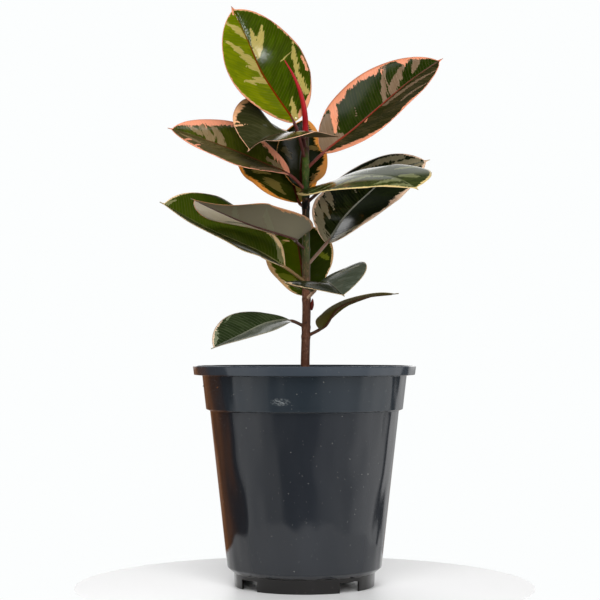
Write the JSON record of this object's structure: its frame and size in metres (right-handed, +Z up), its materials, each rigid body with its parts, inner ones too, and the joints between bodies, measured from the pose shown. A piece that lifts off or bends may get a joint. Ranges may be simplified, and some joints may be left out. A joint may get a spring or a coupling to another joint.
{
  "type": "potted rubber plant",
  "caption": "Young variegated rubber plant with broad leathery leaves on one upright stem, rooted in a round dark plastic grower pot.",
  "frame": {"origin": "on the pot's axis, at the height of the surface that the pot stands on", "axes": "+Z up, along the stem; -Y is the side that the picture shows; +X is to the picture's right"},
  "size_m": [0.2749, 0.218, 0.552],
  "materials": {
    "pot": "moulded charcoal plastic, satin",
    "soil": "loose potting mix of bark, peat and perlite",
    "stem": "young bark, brown below and green above",
    "bud_sheath": "smooth crimson skin",
    "leaf": "glossy dark green with cream, salmon and grey-green patches"
  },
  "bodies": {
    "root": {"pot": "pot", "soil": "soil", "stem": "stem", "bud_sheath": "bud_sheath", "leaf_01_low_right": "leaf", "leaf_02_low_left": "leaf", "leaf_03_low_front": "leaf", "leaf_04_low_back": "leaf", "leaf_05_left": "leaf", "leaf_06_right": "leaf", "leaf_07_front_left": "leaf", "leaf_08_back_left": "leaf", "leaf_09_front_right": "leaf", "leaf_10_back": "leaf", "leaf_11_upper_left": "leaf", "leaf_12_upper_right": "leaf", "leaf_13_top_left": "leaf", "leaf_14_top_front": "leaf"}
  },
  "joints": []
}
